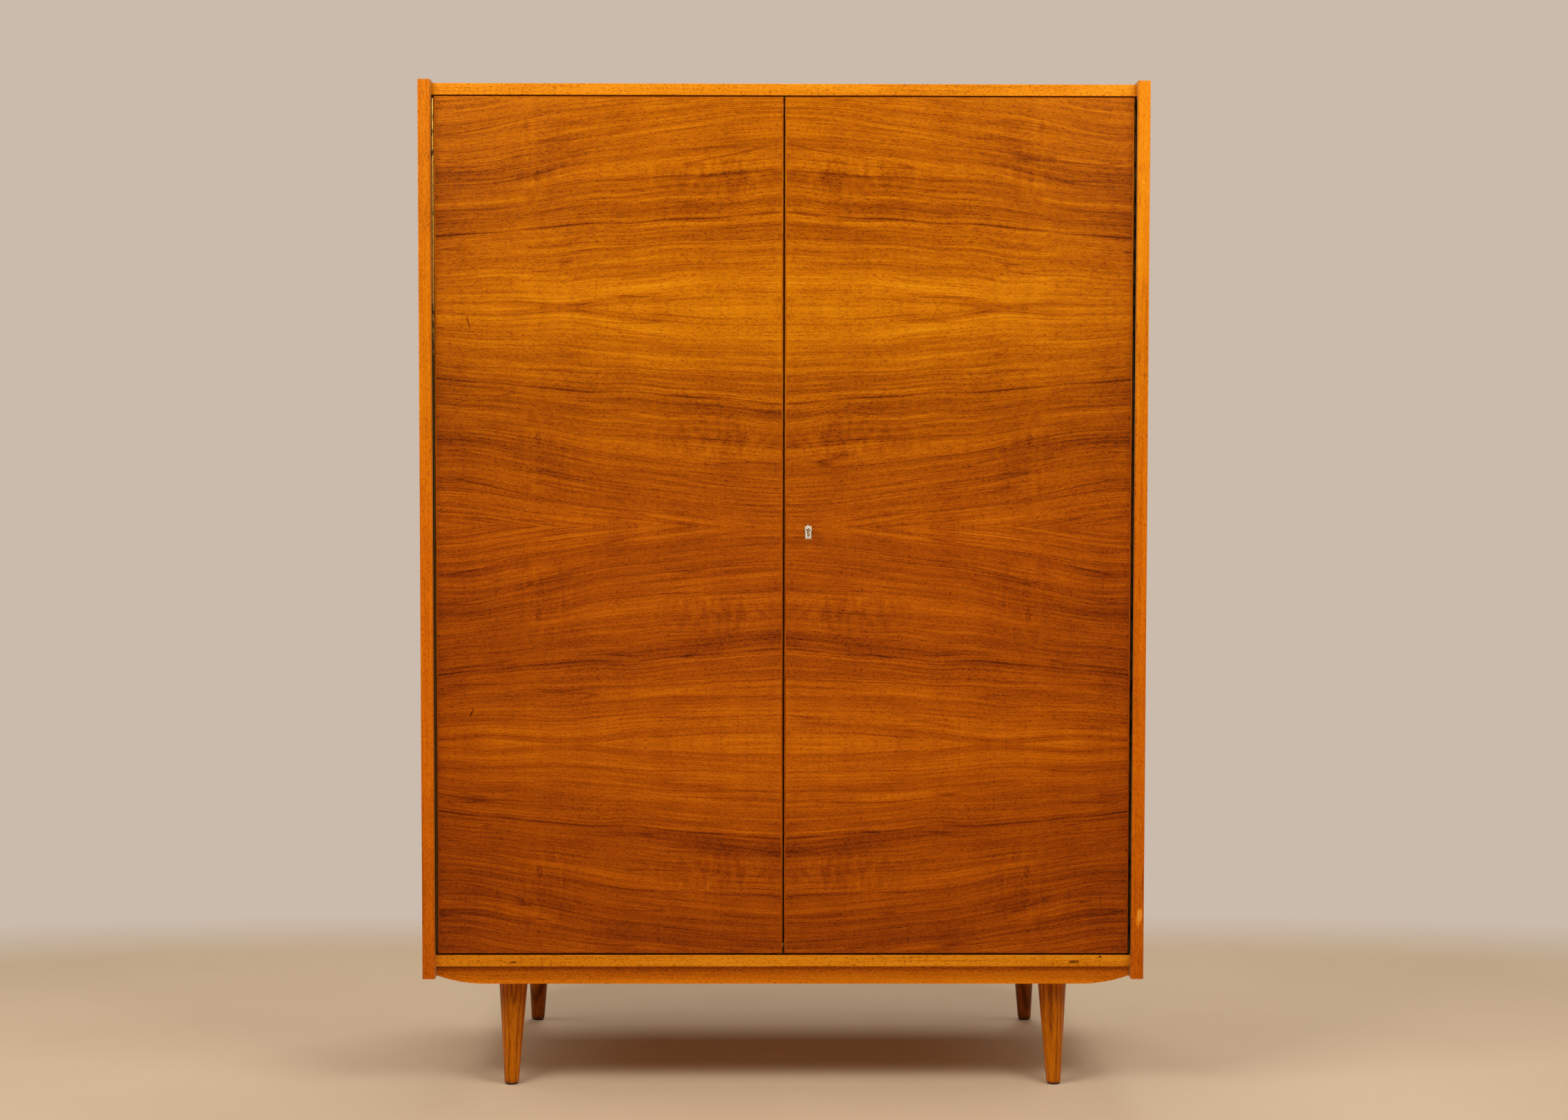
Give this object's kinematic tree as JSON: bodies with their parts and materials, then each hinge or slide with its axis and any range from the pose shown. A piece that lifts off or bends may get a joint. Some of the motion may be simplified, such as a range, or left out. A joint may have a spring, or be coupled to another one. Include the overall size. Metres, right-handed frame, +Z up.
{
  "type": "wardrobe",
  "caption": "Two-door wardrobe on turned legs, with shelves, a hanging rail, full-height piano hinges, edge bolts and a key lock.",
  "frame": {"origin": "on the floor, at the centre of the box that holds the wardrobe and its key", "axes": "+Z up, +X to the right of someone who faces the doors, +Y from the doors to the back"},
  "size_m": [1.2, 0.594, 1.677],
  "materials": {
    "veneered_board": "satin lacquer",
    "solid_lipping": "satin lacquer",
    "turned_wood": "satin lacquer",
    "inner_board": "matt",
    "plywood": "bare",
    "hinge_brass": "aged",
    "fitting_brass": "polished",
    "nickel": "polished",
    "steel": "satin",
    "glide_plastic": "matt"
  },
  "bodies": {
    "carcass": {"side_panel_left": "veneered_board", "side_panel_right": "veneered_board", "side_lipping_left": "solid_lipping", "side_lipping_right": "solid_lipping", "top_panel": "veneered_board", "top_lipping": "solid_lipping", "bottom_panel": "veneered_board", "bottom_lipping": "solid_lipping", "back_panel": "plywood", "back_nails": "steel", "partition": "inner_board", "partition_lipping": "solid_lipping", "door_stops": "inner_board", "dowels": "inner_board", "shelf_1": "inner_board", "shelf_2": "inner_board", "shelf_3": "inner_board", "shelf_4": "inner_board", "shelf_pins": "steel", "hat_shelf": "inner_board", "shelf_cleats": "inner_board", "cleat_screws": "steel", "clothes_rail": "nickel", "rail_sockets": "nickel", "case_strike_plates": "fitting_brass", "fitting_screws_in_case": "steel", "front_apron": "solid_lipping", "rear_apron": "inner_board", "cross_rail_left": "inner_board", "cross_rail_right": "inner_board", "base_screws": "steel", "leg_front_left": "turned_wood", "leg_front_right": "turned_wood", "leg_rear_left": "turned_wood", "leg_rear_right": "turned_wood", "glides": "glide_plastic", "left_hinge_case_leaf": "hinge_brass", "right_hinge_case_leaf": "hinge_brass", "left_hinge_pin": "steel", "right_hinge_pin": "steel", "hinge_screws_in_case": "hinge_brass"},
    "left_door": {"left_door_panel": "veneered_board", "left_door_edging": "solid_lipping", "left_hinge_door_leaf": "hinge_brass", "edge_bolt_cases": "fitting_brass", "door_strike_plate": "fitting_brass", "screws_in_left_door": "fitting_brass"},
    "right_door": {"right_door_panel": "veneered_board", "right_door_edging": "solid_lipping", "right_hinge_door_leaf": "hinge_brass", "lock_case": "steel", "lock_cover": "steel", "lock_forend": "fitting_brass", "lock_spring": "steel", "escutcheon": "nickel", "screws_in_right_door": "fitting_brass"},
    "key": {"key": "nickel"},
    "lock_bolt": {"lock_bolt": "fitting_brass"},
    "top_bolt": {"top_bolt": "fitting_brass"},
    "bottom_bolt": {"bottom_bolt": "fitting_brass"}
  },
  "joints": [
    {"name": "left_door_hinge", "type": "hinge", "parent": "carcass", "child": "left_door", "pos_m": [-0.5775, -0.271, 0.234], "axis": [0, 0, -1], "range_deg": [0, 95]},
    {"name": "right_door_hinge", "type": "hinge", "parent": "carcass", "child": "right_door", "pos_m": [0.5775, -0.271, 0.234], "axis": [0, 0, 1], "range_deg": [0, 95]},
    {"name": "key_turn", "type": "hinge", "parent": "right_door", "child": "key", "pos_m": [0.0406, -0.271, 0.9415], "axis": [0, -1, 0], "range_deg": [0, 350]},
    {"name": "lock_bolt_slide", "type": "slide", "parent": "right_door", "child": "lock_bolt", "axis": [-1, 0, 0], "range_m": [0, 0.008]},
    {"name": "top_bolt_slide", "type": "slide", "parent": "left_door", "child": "top_bolt", "axis": [0, 0, 1], "range_m": [0, 0.008]},
    {"name": "bottom_bolt_slide", "type": "slide", "parent": "left_door", "child": "bottom_bolt", "axis": [0, 0, -1], "range_m": [0, 0.008]}
  ],
  "couplings": [
    {"joint": "lock_bolt_slide", "follows": "key_turn", "m_per_rad": 0.0013096}
  ]
}
